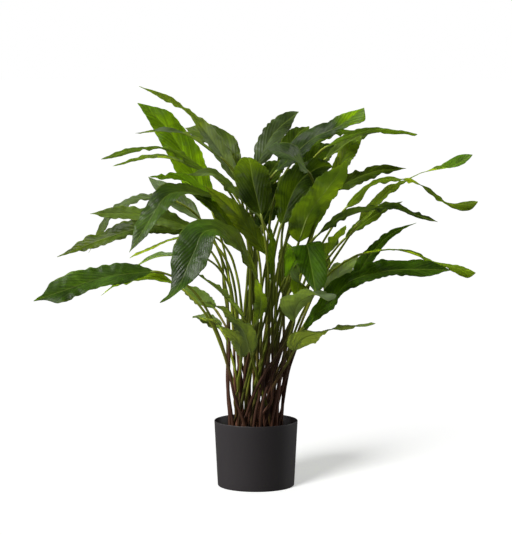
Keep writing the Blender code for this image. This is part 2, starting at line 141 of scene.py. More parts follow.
# The outlines of a leaf's two halves, where they aren't POINTED
OUTLINES = {
    1: (PADDLE, PADDLE), 6: (DRAWN_OUT, DRAWN_OUT), 10: (TAILED, TAILED), 11: (POINTED, FULL),
    12: (NARROWING, NARROWING), 16: (OBLIQUE, SLIM), 20: (NARROW, NARROW), 21: (SHOULDERED, SHOULDERED),
    22: (BLUNT, DRAWN_OUT), 24: (POINTED, WAISTED), 25: (DRAWN_OUT, POINTED), 26: (POINTED, OBLIQUE),
    28: (SLIM, POINTED), 34: (WIDE_BASE, WIDE_BASE), 36: (HOURGLASS_SLIM, HOURGLASS),
    37: (HOURGLASS, HOURGLASS_SLIM), 42: (LATE, LATE), 43: (SLIM, OBLIQUE), 44: (LATE_FULL, LATE_FULL),
    46: (BLUNT, BLUNT), 47: (BLUNT, POINTED), 50: (SHORT_BASE, SHORT_BASE), 51: (NARROW_BASE, BROAD_BASE),
    52: (NARROW_BASE, NARROW_BASE), 56: (SLIM, SLIM), 57: (SLIM, SLIM), 58: (SLIM, SLIM),
}

# Stalk mesh. The stalk is a little uneven, swells just under the blade, and has a flat groove on top.
# It runs on under the blade as its midrib, sunk into it, and tapers to the tip.
STALK_ROWS = 46
STALK_SIDES = 10
UNEVEN_LENGTH = 60 * MM
UNEVEN_SHARE = 0.08
SWELLING = 0.25
SWELLING_UNDER_COLLAR = 12 * MM
SWELLING_SPAN = 9 * MM
GROOVE_SHARE = 0.12
GROOVE_SPAN = 0.5
RIB_ROWS = 40
RIB_END = 0.985
RIB_SHARE = 0.8
RIB_TIP_RADIUS = 0.25 * MM
RIB_TAPER = 2.6
RIB_SINK = 0.82
RIB_SINK_RATE = 30
# The grain is laid out as round a stalk of this radius.
GRAIN_RADIUS = 0.3 * MM

# How young leaves are. At 0 a leaf is dark and thick, and at 1 lime and thin enough to glow against the
# light. Mottling adds to that, so under 0 or over 1 nearly all of the leaf is as dark or light as it gets.
# Leaves that stand in the plant's shade, deep inside it and at its back, are listed older and darker than
# they are: painted shade.
COMMON_YOUTH = 0.4
YOUTH_SPREAD = 0.03
YOUTH_AND_SHADE = {
    1.5: (11, 17, 28),
    1.25: (2, 37, 43, 52),
    1.1: (5, 53, 54, 55),
    0.95: (4, 45, 50),
    0.8: (12, 15),
    0.7: (8, 18, 36),
    0.62: (10,),
    0.5: (7, 16, 20, 26, 49, 51),
    0.4: (6, 9, 13, 25, 27, 39, 56),
    0.3: (1, 44, 47, 48),
    0.2: (3, 14, 19, 21, 22, 23, 29, 30, 31, 33, 34, 40, 41, 42, 46),
    0.0: (24, 32, 35, 38),
    -0.2: (57, 58),
}
# Where a blade's tip is younger or older than its base: how young it is, and how far up the change is
TIP_YOUTH = {
    1: (0.36, 0.5), 3: (0.5, 0.6), 6: (0.6, 0.7), 7: (0.38, 0.35), 10: (0.4, 0.42), 12: (1.5, 0.5),
    16: (0.9, 0.6), 21: (0.8, 0.5), 24: (1.1, 0.76), 26: (0.8, 0.6), 35: (0.2, 0.5), 37: (0.9, 0.8),
    47: (0.42, 0.5), 50: (0.9, 0.5),
}
TIP_YOUTH_WITHIN = 0.25
# How far a leaf's green leans from bluish, at 0, to olive. A tip that is older than its base leans less.
OLIVE = {1.1: (12, 20, 21, 35, 50, 51, 52), 0.9: (10,), 0.4: (5, 11, 17, 24, 30), 0.15: (1, 42, 44, 47)}
COMMON_OLIVE = (0.7, 1.0)
OLIVE_LOST = 0.85
OLIVE_LOST_WITHIN = 0.2
# How whitish a leaf is from its wax, with painted sheen: the whitish grey also stands in for light glancing
# off glossy leaves. A tip that is younger than its base has less.
WAX_AND_SHEEN = {
    2.4: (5, 6, 12), 1.4: (9, 14, 45, 46, 50, 51, 52, 53, 54, 55), 0.9: (4, 8, 18, 22, 30),
    0.5: (16, 28, 37), 0.25: (1, 3, 7, 10, 13, 15, 20, 24, 27),
}
COMMON_WAX_AND_SHEEN = (0, 0.06)
WAX_AND_SHEEN_LOST = 0.8
WAX_AND_SHEEN_LOST_WITHIN = 0.3
# How much the streaks along the side veins darken and lighten a leaf, as painted shade and highlight between
# the pleats, and how far apart in the noise they are taken from one leaf to the next
STREAK_SHADING = {0.9: (7, 10), 0.34: (20, 21, 33)}
COMMON_STREAK_SHADING = 0.64
STREAK_SEED_STEP = 3.7
# The leaves that shine most
GLOSSY_LEAVES = (7, 10, 22, 30)
# Stalks that turn from brown to green lowest down
GREEN_STALKS = (2, 10, 16, 20, 34, 47, 51, 52, 55, 58)
COMMON_GREEN = (0, 0.5)

RANDOM_SEED = 1000


def listed(groups, number, otherwise):
    """The key of the group that lists a leaf."""
    return next((key for key, numbers in groups.items() if number in numbers), otherwise)


def leaf_numbers():
    return sorted(int(name.removeprefix("leaf_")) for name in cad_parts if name.startswith("leaf_"))


# ---------------------------------------------------------------- reading the CAD leaves

def rings_of(node):
    """The leaf's rings from foot to tip: the solid's points, sorted by their steps from the foot ring."""
    shape = bmesh.new()
    shape.from_mesh(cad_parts[node].data)
    bmesh.ops.remove_doubles(shape, verts=shape.verts, dist=SAME_POINT)
    ring = sorted(shape.verts, key=lambda vert: vert.co.z)[:RING_SIDES]
    rings = []
    seen = set(ring)
    while ring:
        rings.append(np.array([vert.co[:] for vert in ring]))
        beyond = {edge.other_vert(vert) for vert in ring for edge in vert.link_edges} - seen
        ring = sorted(beyond, key=lambda vert: vert.co[:])
        seen.update(ring)
    shape.free()
    return rings


def unit(vectors):
    return vectors / np.maximum(np.linalg.norm(vectors, axis=-1, keepdims=True), NO_LENGTH)


def smooth_through(knots, values, at):
    """Values at any place on a smooth curve through values at the knots."""
    knots = np.asarray(knots, float)
    values = np.asarray(values, float)
    steps = np.diff(knots)
    slopes = np.diff(values, axis=0) / steps.reshape(-1, *[1] * (values.ndim - 1))
    tangents = np.empty_like(values)
    tangents[0], tangents[-1] = slopes[0], slopes[-1]
    share = (steps[1:] / (steps[1:] + steps[:-1])).reshape(-1, *[1] * (values.ndim - 1))
    tangents[1:-1] = slopes[:-1] * share + slopes[1:] * (1 - share)
    at = np.clip(at, knots[0], knots[-1])
    i = np.clip(np.searchsorted(knots, at, side="right") - 1, 0, len(knots) - 2)
    shape = (-1,) + (1,) * (values.ndim - 1)
    h = steps[i].reshape(shape)
    t = ((at - knots[i]) / steps[i]).reshape(shape)
    return (
        values[i] * (2 * t**3 - 3 * t**2 + 1) + tangents[i] * h * (t**3 - 2 * t**2 + t)
        + values[i + 1] * (3 * t**2 - 2 * t**3) + tangents[i + 1] * h * (t**3 - t**2)
    )


class Leaf:
    """A leaf's line from foot to tip, with its collar, half width and faces, as the CAD solid has them."""

    def __init__(self, number):
        self.number = number
        self.name = f"leaf_{number:02d}"
        rings = rings_of(self.name)
        centres = [ring.mean(axis=0) for ring in rings]
        self.radii = [np.linalg.norm(ring - ring.mean(axis=0), axis=1).max() for ring in rings[:STALK_RINGS]]
        normals = []
        widest = 0
        for i in range(STALK_RINGS, len(rings)):
            ring = rings[i]
            apart = np.linalg.norm(ring[:, None] - ring[None], axis=2)
            a, b = np.unravel_index(apart.argmax(), apart.shape)
            middle = (ring[a] + ring[b]) / 2
            inner = np.delete(ring, (a, b), axis=0).mean(axis=0)
            half = apart[a, b] / 2
            widest = max(widest, half)
            before, after = rings[i - 1].mean(axis=0), rings[min(i + 1, len(rings) - 1)].mean(axis=0)
            normal = np.cross(after - before, ring[b] - ring[a])
            normal = unit(normal) * np.sign(normal @ (middle - inner))
            normals.append(normal)
            centres[i] = middle - normal * CAD_FOLD * half
        self.half_width = widest
        self.knots = np.concatenate([[0], np.cumsum(np.linalg.norm(np.diff(centres, axis=0), axis=1))])
        self.centres = np.array(centres)
        self.collar = self.knots[STALK_RINGS - 1]
        self.length = self.knots[-1] - self.collar
        self.normal_knots = np.concatenate([[self.collar], self.knots[STALK_RINGS:]])
        self.normals = np.array([normals[0], *normals])
        self.random = np.random.default_rng(RANDOM_SEED + number)

    def line(self, run):
        """Places, upper-face directions and side directions at runs along the leaf."""
        step = 0.5 * MM
        places = smooth_through(self.knots, self.centres, run)
        ways = unit(
            smooth_through(self.knots, self.centres, run + step)
            - smooth_through(self.knots, self.centres, run - step)
        )
        normals = smooth_through(self.normal_knots, self.normals, np.maximum(run, self.collar))
        normals = unit(normals - ways * (normals * ways).sum(-1, keepdims=True))
        return places, normals, np.cross(ways, normals)


# ---------------------------------------------------------------- growing the leaves

def grid_faces(rows, columns, flip=False, wrap=False):
    """Quads over a grid of points stored row by row."""
    last = columns if wrap else columns - 1
    i, j = np.meshgrid(np.arange(rows - 1), np.arange(last), indexing="ij")
    i, j = i.ravel(), j.ravel()
    k = (j + 1) % columns
    near, far = i * columns, (i + 1) * columns
    faces = np.stack([near + j, near + k, far + k, far + j], axis=1)
    return faces[:, ::-1] if flip else faces


def wave(run, length, rng):
    """A wave of about that length whose beats drift, between -1 and 1."""
    start, drift_start = rng.uniform(0, 2 * math.pi, 2)
    drift = WAVE_DRIFT * np.sin(run * 2 * math.pi / (length * WAVE_DRIFT_BEATS) + drift_start)
    return np.sin(run * 2 * math.pi / (length * rng.uniform(*WAVE_STRETCH)) + start + drift)


def blade_sheet(leaf):
    """The blade's middle surface as rows of points, its normals, and how far across and along they are."""
    rng = leaf.random
    rows = int(np.clip(leaf.length / ROW_LENGTH, *ROW_COUNTS))
    columns = int(np.clip(leaf.half_width / COLUMN_WIDTH, *COLUMN_COUNTS))
    share = np.linspace(0, 1, rows)
    run = share * leaf.length
    places, normals, sides = leaf.line(leaf.collar + run)
    from_rib = np.linspace(0, 1, columns + 1) ** COLUMN_CROWDING
    across = np.concatenate([-from_rib[:0:-1], from_rib])

    # Each half has its own outline, ruffles and scallops.
    bulge = np.clip(np.sin(math.pi * share**RUFFLED_ALONG), 0, 1) ** RUFFLED_POWER
    wavy = WAVY_SHARE if leaf.number in WAVY else 1
    ruffle = rng.uniform(*RUFFLE_HEIGHT) * bulge * wavy
    sway = leaf.half_width * SWAY_SHARE * np.sin(math.pi * share) ** SWAY_POWER
    rise = np.zeros((rows, len(across)))
    reach = np.zeros_like(rise)
    half = np.zeros_like(rise)
    for side, outline in zip((-1, 1), OUTLINES.get(leaf.number, (POINTED, POINTED))):
        on_side = np.clip(across * side, 0, 1)
        wide = leaf.half_width * smooth_through(OUTLINE_AT, outline, share)
        swell = 0.5 + 0.5 * wave(run, SWAY_LENGTH, rng)
        beat = wave(run, RUFFLE_LENGTH, rng) + wave(run, RUFFLE_LENGTH * 0.5, rng) * RUFFLE_OVERTONE
        slow = wave(run, SWAY_LENGTH, rng)
        scallop = np.abs(wave(run, SCALLOP_LENGTH * 2, rng)) - SCALLOP_LEVEL
        scallop = scallop + SCALLOP_DRIFT * wave(run, SCALLOP_LENGTH * 4, rng)
        notch = scallop * rng.uniform(*SCALLOP_DEPTH) * bulge * wavy
        rise += (ruffle * swell * beat)[:, None] * on_side**RUFFLE_POWER
        rise += (sway * slow)[:, None] * on_side
        reach += (wide[:, None] * on_side + notch[:, None] * on_side**SCALLOP_POWER) * side
        half += wide[:, None] * (on_side > 0)
    half[:, columns] = leaf.half_width * smooth_through(OUTLINE_AT, POINTED, share)

    # The halves rise from the midrib as a channel, and some leaves round over towards the tip.
    from_rib = np.abs(across)
    channel = rng.uniform(*CHANNEL_RISE) * from_rib - rng.uniform(*CHANNEL_DROP) * from_rib**2
    rise += half * channel
    bent_over = ROUNDED_OVER.get(leaf.number, 0) * np.clip((share - ROUNDED_FROM) / ROUNDED_WITHIN, 0, 1)
    rise -= half * bent_over[:, None] * from_rib**2

    # Pleats along the side veins, and broader puckers
    out = np.abs(reach)
    phase = run[:, None] * math.sin(VEIN_ANGLE) - out * math.cos(VEIN_ANGLE) - out**2 * VEIN_BEND
    depth = PLEAT_DEPTHS.get(leaf.number, rng.uniform(*PLEAT_DEPTH))
    pleat = np.sin(phase * 2 * math.pi / PLEAT_WIDTH) * depth
    pleat *= np.clip(out / PLEAT_FADE, 0, 1) * np.clip((half - out) / PLEAT_FADE + PLEAT_AT_EDGE, 0, 1)
    drift = wave(run, PUCKER_LENGTH * 2, rng)[:, None] * PUCKER_DRIFT
    pucker = np.sin(reach * math.pi / PUCKER_WIDTH + drift)
    pucker *= wave(run, PUCKER_LENGTH, rng)[:, None] * np.clip(out / PUCKER_FADE, 0, 1) * bulge[:, None]
    rise += pleat + pucker * rng.uniform(*PUCKER_DEPTH)

    points = places[:, None] + sides[:, None] * reach[..., None] + normals[:, None] * rise[..., None]
    down_rows = np.gradient(points, axis=0)
    down_columns = np.gradient(points, axis=1)
    faces_up = unit(np.cross(down_columns, down_rows))
    faces_up *= np.sign((faces_up * normals[:, None]).sum(-1, keepdims=True))
    return points, faces_up, reach, np.broadcast_to(run[:, None], reach.shape)


def blade_mesh(leaf):
    """Points, faces, grain places and under-side marks of the blade: two skins closed round the edge."""
    points, up, reach, run = blade_sheet(leaf)
    rows, columns = reach.shape
    half_skin = np.full((rows, columns), BLADE_THICKNESS / 2)
    half_skin[:, (0, -1)] *= RIM_THICKNESS_SHARE
    upper = (points + up * half_skin[..., None]).reshape(-1, 3)
    lower = (points - up * half_skin[..., None]).reshape(-1, 3)
    count = rows * columns
    rim = [i * columns for i in range(rows)]
    rim += [(rows - 1) * columns + j for j in range(1, columns)]
    rim += [i * columns + columns - 1 for i in range(rows - 2, -1, -1)]
    rim += range(columns - 2, 0, -1)
    rim = np.array(rim)
    after = np.roll(rim, -1)
    faces = np.concatenate([
        grid_faces(rows, columns),
        grid_faces(rows, columns, flip=True) + count,
        np.stack([rim, after, after + count, rim + count], axis=1),
    ])
    places = np.stack([reach.ravel(), run.ravel()], axis=1)
    under = np.concatenate([np.zeros(count), np.ones(count)])
    return np.concatenate([upper, lower]), faces, np.concatenate([places, places]), under


def stalk_mesh(leaf):
    """Points, faces, end caps and grain places of the stalk and the midrib that it becomes."""
    stalk_runs = leaf.collar * np.linspace(0, 1, STALK_ROWS)
    rib_runs = leaf.collar + leaf.length * np.linspace(0, RIB_END, RIB_ROWS + 1)[1:]
    run = np.concatenate([stalk_runs, rib_runs])
    places, normals, sides = leaf.line(run)
    radius = np.interp(run, leaf.knots[:STALK_RINGS], leaf.radii)
    radius *= 1 + UNEVEN_SHARE * wave(run, UNEVEN_LENGTH, leaf.random)
    radius *= 1 + SWELLING * np.exp(-((run - leaf.collar + SWELLING_UNDER_COLLAR) / SWELLING_SPAN) ** 2)
    share = np.clip((run - leaf.collar) / leaf.length, 0, 1)
    on_rib = share > 0
    rib_radius = leaf.radii[-1] * RIB_SHARE
    tapered = RIB_TIP_RADIUS + (rib_radius - RIB_TIP_RADIUS) * (1 - share) ** RIB_TAPER
    radius = np.where(on_rib, tapered, radius)
    sink = np.where(on_rib, radius * np.clip(share * RIB_SINK_RATE, 0, RIB_SINK), 0)
    angles = np.arange(STALK_SIDES) * 2 * math.pi / STALK_SIDES
    groove = 1 - GROOVE_SHARE * np.exp(-((angles - math.pi / 2) / GROOVE_SPAN) ** 2)
    ring = np.stack([np.cos(angles), np.sin(angles) * groove], axis=1)
    points = (
        places[:, None] - normals[:, None] * sink[:, None, None]
        + sides[:, None] * (radius[:, None] * ring[:, 0])[..., None]
        + normals[:, None] * (radius[:, None] * ring[:, 1])[..., None]
    )
    rows = len(run)
    faces = grid_faces(rows, STALK_SIDES, wrap=True)
    places_on = np.stack([
        np.broadcast_to(angles * GRAIN_RADIUS, (rows, STALK_SIDES)).ravel(),
        np.broadcast_to((run - leaf.collar)[:, None], (rows, STALK_SIDES)).ravel(),
    ], axis=1)
    ends = [list(range(STALK_SIDES))[::-1], [(rows - 1) * STALK_SIDES + k for k in range(STALK_SIDES)]]
    return points.reshape(-1, 3), faces, ends, places_on


def tone_along(leaf, share):
    """How young the blade is at shares of its length. For leaves listed darker as painted shade, it holds
    that shade too.
    """
    base = listed(YOUTH_AND_SHADE, leaf.number, COMMON_YOUTH)
    tip, middle = TIP_YOUTH.get(leaf.number, (base, 0.5))
    far = np.clip((share - middle) / TIP_YOUTH_WITHIN + 0.5, 0, 1)
    return base + (tip - base) * far**2 * (3 - 2 * far) + leaf.random.normal(0, YOUTH_SPREAD)


def marks_on(leaf, places, under):
    """What the materials read: one number for each point, blade first and stalk after, or one for all."""
    tone = tone_along(leaf, places[:, 1] / leaf.length)
    younger = np.clip((tone - tone[0]) / WAX_AND_SHEEN_LOST_WITHIN, 0, 1)
    older = np.clip((tone[0] - tone) / OLIVE_LOST_WITHIN, 0, 1)
    wax_and_sheen = listed(WAX_AND_SHEEN, leaf.number, leaf.random.uniform(*COMMON_WAX_AND_SHEEN))
    olive = listed(OLIVE, leaf.number, leaf.random.uniform(*COMMON_OLIVE))
    on_stalk = np.zeros(len(places) - len(under))
    on_blade = places[:len(under)]
    return {
        "under": np.concatenate([under, on_stalk]),
        "tone": tone,
        "wax_and_sheen": wax_and_sheen * (1 - WAX_AND_SHEEN_LOST * younger),
        "olive": olive * (1 - OLIVE_LOST * older),
        "seed": STREAK_SEED_STEP * leaf.number,
        "streak_shading": listed(STREAK_SHADING, leaf.number, COMMON_STREAK_SHADING),
        "green": 1.0 if leaf.number in GREEN_STALKS else leaf.random.uniform(*COMMON_GREEN),
        "edge": np.concatenate([np.abs(on_blade[:, 0]) / leaf.half_width, on_stalk]),
    }


def make_leaf(number, blade, stalk):
    """A leaf of one mesh: its blade and stalk, with what their materials read about each point."""
    leaf = Leaf(number)
    blade_points, blade_faces, blade_places, under = blade_mesh(leaf)
    stalk_points, stalk_faces, stalk_ends, stalk_places = stalk_mesh(leaf)
    shift = len(blade_points)
    faces = blade_faces.tolist() + (stalk_faces + shift).tolist()
    faces += [[k + shift for k in end] for end in stalk_ends]
    mesh = bpy.data.meshes.new(f"foliage_{number:02d}")
    mesh.from_pydata(np.concatenate([blade_points, stalk_points]).tolist(), [], faces)
    mesh.materials.append(blade)
    mesh.materials.append(stalk)
    slots = np.zeros(len(faces), np.int32)
    slots[len(blade_faces):] = 1
    mesh.polygons.foreach_set("material_index", slots)
    places = np.concatenate([blade_places, stalk_places])
    corners = np.empty(len(mesh.loops), np.int32)
    mesh.loops.foreach_get("vertex_index", corners)
    layer = mesh.uv_layers.new(name="grain")
    layer.data.foreach_set("uv", places[corners].astype(np.float32).ravel())
    for name, values in marks_on(leaf, places, under).items():
        attribute = mesh.attributes.new(name, "FLOAT", "POINT")
        attribute.data.foreach_set("value", np.broadcast_to(values, len(places)).astype(np.float32))
    mesh.shade_smooth()
    mesh.update()
    piece = bpy.data.objects.new(mesh.name, mesh)
    bpy.context.scene.collection.objects.link(piece)
    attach(piece, "root")
    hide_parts(leaf.name)


# ---------------------------------------------------------------- materials

NOISE_ROUGHNESS = 0.55


class Nodes:
    """A material's node tree, with short calls for its nodes."""

    def __init__(self, name):
        self.material = bpy.data.materials.new(name)
        self.material.use_nodes = True
        self.tree = self.material.node_tree
        self.shader = self.tree.nodes["Principled BSDF"]
        self.output = self.tree.nodes["Material Output"]

    def add(self, kind, inputs=(), **settings):
        node = self.tree.nodes.new("ShaderNode" + kind)
        for key, value in settings.items():
            setattr(node, key, value)
        for key, value in dict(inputs).items():
            self.put(value, node.inputs[key])
        return node

    def put(self, value, socket):
        if isinstance(value, bpy.types.NodeSocket):
            self.tree.links.new(value, socket)
        else:
            socket.default_value = value

    def math(self, operation, a, b=0.0, clamp=False):
        return self.add("Math", {0: a, 1: b}, operation=operation, use_clamp=clamp).outputs[0]

    def plus(self, a, b, clamp=False):
        return self.math("ADD", a, b, clamp)

    def minus(self, a, b):
        return self.math("SUBTRACT", a, b)

    def times(self, a, b, clamp=False):
        return self.math("MULTIPLY", a, b, clamp)

    def between(self, least_and_gain, share):
        """A least value, and a gain times the share on top of it."""
        least, gain = least_and_gain
        return self.plus(least, self.times(share, gain))

    def attribute(self, name):
        return self.add("Attribute", attribute_name=name).outputs["Fac"]

    def mix(self, share, a, b, blend="MIX"):
        """Two colours mixed. The node's colour sockets come after those for numbers and vectors."""
        return self.add("Mix", {0: share, 6: a, 7: b}, data_type="RGBA", blend_type=blend).outputs[2]

    def grey(self, value):
        return self.add("CombineXYZ", {0: value, 1: value, 2: value}).outputs[0]

    def ramp(self, value, low, high):
        """0 below low, 1 above high, and smooth between."""
        node = self.add("MapRange", {0: value, 1: low, 2: high}, interpolation_type="SMOOTHSTEP")
        return node.outputs[0]

    def noise(self, scale, vector, detail):
        inputs = {"Scale": scale, "Detail": detail, "Roughness": NOISE_ROUGHNESS, "Vector": vector}
        return self.add("TexNoise", inputs).outputs["Fac"]

    def place(self):
        return self.add("TexCoord").outputs["Object"]

    def bump(self, height, distance, strength=1.0, under=None):
        inputs = {"Height": height, "Distance": distance, "Strength": strength}
        if under is not None:
            inputs["Normal"] = under
        return self.add("Bump", inputs).outputs[0]


def colour(red, green, blue):
    return (red, green, blue, 1.0)


# Blade. A leaf's colour runs from old to young, and veins, streaks, rib, rim and wax are painted over it.
# Leaves in shade are listed old as painted shade, the streaks are painted shade and highlight, the lighter
# rim is partly painted highlight, and the whitish wax is partly painted sheen.
UPPER_OLD, UPPER_YOUNG = colour(0.009, 0.021, 0.001), colour(0.096, 0.176, 0.005)
GLOW_OLD, GLOW_YOUNG = colour(0.18, 0.27, 0.006), colour(0.80, 0.98, 0.040)
BLUISH, OLIVE_TINT = colour(0.80, 1.0, 1.0), colour(1.12, 1.0, 1.0)
VEIN, VEIN_GLOW = colour(0.140, 0.205, 0.040), colour(0.14, 0.22, 0.004)
RIB, RIB_GLOW = colour(0.240, 0.320, 0.045), colour(0.50, 0.65, 0.060)
RIM_HIGHLIGHT = colour(0.190, 0.240, 0.030)
WAX_AND_SHEEN_COLOUR, WAXED_GLOW = colour(0.220, 0.270, 0.205), colour(0.50, 0.58, 0.27)
UNDER, UNDER_GLOW = colour(0.180, 0.250, 0.105), colour(0.42, 0.54, 0.240)
UNDER_WAXED, UNDER_WAXED_VEIN = colour(0.260, 0.320, 0.170), colour(0.380, 0.440, 0.260)
MOTTLE_SCALE = 14.0
MOTTLING = 1.5
FINE_VEINS = 5
VEIN_SPAN = (0.60, 1.0)
VEIN_WANDER = 1.5 * MM
VEIN_WANDER_SCALE = 60.0
VEIN_PATCH_SCALE = 22.0
VEIN_PATCH_SPAN = (0.35, 0.65)
VEIN_SHARE = 0.45
RIB_WIDTHS = (0.5 * MM, 1.4 * MM)
RIB_PAINT = 0.6
RIM_HIGHLIGHT_SPAN = (0.90, 1.0)
RIM_HIGHLIGHT_SHARE = 0.6
STREAK_WIDTH = 2.2 * MM
STREAK_LENGTH = 30 * MM
STREAK_SPAN = (0.34, 0.66)
STREAK_SHADING_LOST_YOUNG = 0.36
WAX_AND_SHEEN_EVERYWHERE = 0.05
WAX_AND_SHEEN_PATCH_SPAN = (0.42, 0.66)
WAX_AND_SHEEN_IN_PATCHES = 0.32
PAINTED_SHEEN_ON_VEINS = 0.30
MOST_WAX_AND_SHEEN = 0.9
UNDER_SHARE = 0.6
BLOOM_UNDER = 0.45
MOTTLED_ROUGHNESS = 0.2
ROUGHER_UNDER = 0.15
RIDGE_HEIGHT = 0.22 * MM
RIDGE_SHARE, FINE_RIDGE_SHARE = 0.6, 0.15
PORE_SCALE, PORE_DEPTH, PORE_STRENGTH = 700.0, 0.05 * MM, 0.4
# How much light comes through, how the streaks' painted shade and highlight change it, and how far veins,
# rib and under side tint it
SEEN_THROUGH = 0.6
STREAK_SHADED_GLOW = (0.80, 0.36)
VEIN_GLOW_SHARE, RIB_GLOW_SHARE, UNDER_GLOW_SHARE, WAXED_GLOW_SHARE = 0.22, 0.2, 0.5, 0.7


def blade_material(name, roughness, shine):
    n = Nodes(name)
    grain = n.add("SeparateXYZ", {0: n.add("UVMap", uv_map="grain").outputs[0]})
    out, along = n.math("ABSOLUTE", grain.outputs[0]), grain.outputs[1]
    place = n.place()
    under = n.attribute("under")
    mottle = n.noise(MOTTLE_SCALE, place, detail=4.0)
    tone = n.plus(n.attribute("tone"), n.times(n.minus(mottle, 0.5), MOTTLING), clamp=True)
    tint = n.mix(n.attribute("olive"), BLUISH, OLIVE_TINT)

    # Side veins leave the midrib forwards and bend towards the edge, and streaks of painted shade and
    # highlight are drawn out along them.
    sweep = n.times(along, math.sin(VEIN_ANGLE))
    sweep = n.minus(sweep, n.times(out, math.cos(VEIN_ANGLE)))
    sweep = n.minus(sweep, n.times(n.times(out, out), VEIN_BEND))
    strayed = n.plus(sweep, n.times(n.noise(VEIN_WANDER_SCALE, place, detail=2.0), VEIN_WANDER))
    beat = n.math("SINE", n.times(strayed, 2 * math.pi / PLEAT_WIDTH))
    fine = n.math("SINE", n.times(sweep, 2 * math.pi / (PLEAT_WIDTH / FINE_VEINS)))
    vein = n.ramp(beat, *VEIN_SPAN)
    patchy = n.times(vein, n.ramp(n.noise(VEIN_PATCH_SCALE, place, detail=2.0), *VEIN_PATCH_SPAN))
    drawn_out = n.add("CombineXYZ", {
        0: n.times(sweep, 1 / STREAK_WIDTH),
        1: n.times(grain.outputs[0], 1 / STREAK_LENGTH),
        2: n.attribute("seed"),
    })
    streak = n.ramp(n.noise(1.0, drawn_out.outputs[0], detail=3.0), *STREAK_SPAN)
    rib = n.minus(1.0, n.ramp(out, *RIB_WIDTHS))
    rim = n.ramp(n.attribute("edge"), *RIM_HIGHLIGHT_SPAN)

    # Upper side
    upper = n.mix(1.0, n.mix(tone, UPPER_OLD, UPPER_YOUNG), tint, blend="MULTIPLY")
    upper = n.mix(n.times(patchy, VEIN_SHARE), upper, VEIN)
    # Painted shade and highlight: the streaks darken and lighten the colour along the side veins.
    depth = n.minus(n.attribute("streak_shading"), n.times(tone, STREAK_SHADING_LOST_YOUNG))
    shade = n.plus(1.0, n.times(n.minus(streak, 0.5), depth))
    upper = n.mix(1.0, upper, n.grey(shade), blend="MULTIPLY")
    upper = n.mix(n.times(rib, RIB_PAINT), upper, RIB)
    # A lighter margin: partly the leaf's own paler edge, partly a painted highlight along it.
    upper = n.mix(n.times(rim, RIM_HIGHLIGHT_SHARE), upper, RIM_HIGHLIGHT)
    # Whitish wax and painted sheen: the colour turns whitish grey in patches and along the veins, where
    # light would glance off.
    wax_and_sheen = n.plus(WAX_AND_SHEEN_EVERYWHERE, n.times(n.ramp(mottle, *WAX_AND_SHEEN_PATCH_SPAN), WAX_AND_SHEEN_IN_PATCHES))
    wax_and_sheen = n.times(n.attribute("wax_and_sheen"), n.plus(wax_and_sheen, n.times(patchy, PAINTED_SHEEN_ON_VEINS)))
    upper = n.mix(n.math("MINIMUM", wax_and_sheen, MOST_WAX_AND_SHEEN), upper, WAX_AND_SHEEN_COLOUR)

    # Under side, paler
    pale = n.mix(UNDER_SHARE, upper, UNDER)
    bloom = n.times(n.attribute("wax_and_sheen"), BLOOM_UNDER, clamp=True)
    pale = n.mix(bloom, pale, n.mix(patchy, UNDER_WAXED, UNDER_WAXED_VEIN))
    n.put(n.mix(under, upper, pale), n.shader.inputs["Base Color"])
    rough = n.plus(roughness, n.times(n.minus(mottle, 0.5), MOTTLED_ROUGHNESS))
    n.put(n.plus(rough, n.times(under, ROUGHER_UNDER)), n.shader.inputs["Roughness"])
    n.put(shine, n.shader.inputs["Specular IOR Level"])

    height = n.plus(n.times(beat, RIDGE_SHARE), n.times(fine, FINE_RIDGE_SHARE))
    ridges = n.bump(height, RIDGE_HEIGHT)
    normal = n.bump(n.noise(PORE_SCALE, place, detail=2.0), PORE_DEPTH, PORE_STRENGTH, under=ridges)
    n.put(normal, n.shader.inputs["Normal"])

    # Light that comes through from behind
    glow = n.mix(1.0, n.mix(tone, GLOW_OLD, GLOW_YOUNG), tint, blend="MULTIPLY")
    # The streaks' painted shade and highlight on the light that comes through
    glow = n.mix(1.0, glow, n.grey(n.between(STREAK_SHADED_GLOW, streak)), blend="MULTIPLY")
    glow = n.mix(n.times(vein, VEIN_GLOW_SHARE), glow, VEIN_GLOW)
    glow = n.mix(n.times(rib, RIB_GLOW_SHARE), glow, RIB_GLOW)
    glow = n.mix(n.times(under, UNDER_GLOW_SHARE), glow, UNDER_GLOW)
    glow = n.mix(n.times(bloom, WAXED_GLOW_SHARE), glow, WAXED_GLOW)
    through = n.add("BsdfTranslucent", {"Color": glow, "Normal": normal})
    both = n.add("MixShader", {0: SEEN_THROUGH, 1: n.shader.outputs[0], 2: through.outputs[0]})
    n.put(both.outputs[0], n.output.inputs["Surface"])
    return n.material


# Stalk: brown at the foot and green above, with the blade's pale rib beyond the collar
BROWN_DARK, BROWN_LIGHT = colour(0.014, 0.004, 0.002), colour(0.130, 0.058, 0.034)
GREEN_DARK, GREEN_LIGHT = colour(0.050, 0.075, 0.002), colour(0.260, 0.300, 0.030)
RIB_BELOW = colour(0.360, 0.460, 0.110)
# Heights between which the brown turns green, how much lower the greenest stalks turn, and how blotchily
TURNS_GREEN = (0.27, 0.42)
GREEN_LOWERED = 0.16
BLOTCH_SCALE = 30.0
BLOTCHED = 0.10
# The grain is much finer across the stalk than along it.
STALK_GRAIN = (900.0, 14.0)
STALK_GRAIN_SCALE = 3.0
STALK_GRAIN_DEPTH = 0.2 * MM
# Least value and gain of the stalk's brightness with its leaf's tone. Stalks of older leaves are darker, and
# stalks of leaves listed darker as painted shade carry that painted shade.
STALK_SHADE = (0.7, 0.7)
STALK_ROUGHNESS = (0.42, 0.25)
STALK_SHINE = 0.18
RIB_BELOW_SHARE = 0.85
RIB_BLEND = 10 * MM


